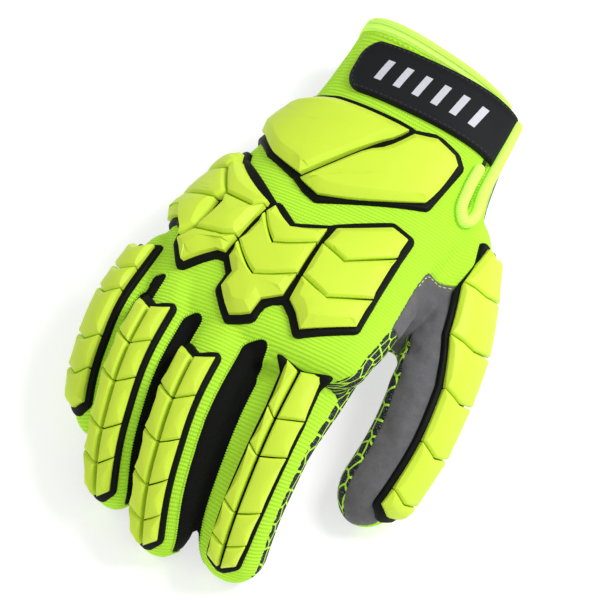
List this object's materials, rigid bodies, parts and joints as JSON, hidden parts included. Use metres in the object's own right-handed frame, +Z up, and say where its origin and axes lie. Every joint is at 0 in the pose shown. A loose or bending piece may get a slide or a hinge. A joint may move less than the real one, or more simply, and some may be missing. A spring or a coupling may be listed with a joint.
{
  "type": "impact glove",
  "caption": "Right-hand work glove in lime knit and grey leather, with bevelled rubber guards along the back, fingers and thumb and a wrist strap; it keeps its curled shape.",
  "frame": {"origin": "on the flat spot under the heel of the palm, below the middle of the wrist", "axes": "+X to the thumb side, +Y towards the cuff, +Z up out of the back of the hand"},
  "size_m": [0.1593, 0.2463, 0.0724],
  "materials": {
    "knit": "matt cut-resistant rib knit",
    "hem": "matt knit tape, paler than the back",
    "leather": "matt heathered synthetic leather",
    "border": "satin black moulded rubber",
    "guard": "satin lime moulded rubber",
    "strap": "matt black strap with a moulded edge"
  },
  "bodies": {
    "root": {"back_panel": "knit", "palm_panel": "leather", "cuff_hem": "hem", "slit_binding": "hem", "cuff_strap": "strap", "wrist_sheet": "border", "knuckle_sheet": "border", "wrist_pad_outer": "guard", "wrist_pad_inner": "guard", "knuckle_pad_index_1": "guard", "knuckle_pad_index_2": "guard", "knuckle_pad_index_3": "guard", "knuckle_pad_middle_1": "guard", "knuckle_pad_middle_2": "guard", "knuckle_pad_middle_3": "guard", "knuckle_pad_ring_1": "guard", "knuckle_pad_ring_2": "guard", "knuckle_pad_ring_3": "guard", "knuckle_pad_little_1": "guard", "knuckle_pad_little_2": "guard", "knuckle_pad_little_3": "guard", "index_sheet": "border", "index_pad_1": "guard", "index_pad_2": "guard", "index_pad_3": "guard", "index_pad_4": "guard", "index_pad_5": "guard", "middle_sheet": "border", "middle_pad_1": "guard", "middle_pad_2": "guard", "middle_pad_3": "guard", "middle_pad_4": "guard", "middle_pad_5": "guard", "ring_sheet": "border", "ring_pad_1": "guard", "ring_pad_2": "guard", "ring_pad_3": "guard", "ring_pad_4": "guard", "ring_pad_5": "guard", "little_sheet": "border", "little_pad_1": "guard", "little_pad_2": "guard", "little_pad_3": "guard", "little_pad_4": "guard", "little_pad_5": "guard", "thumb_sheet": "border", "thumb_pad_1": "guard", "thumb_pad_2": "guard", "thumb_pad_3": "guard", "thumb_pad_4": "guard", "thumb_pad_5": "guard", "thumb_pad_6": "guard"}
  },
  "joints": []
}
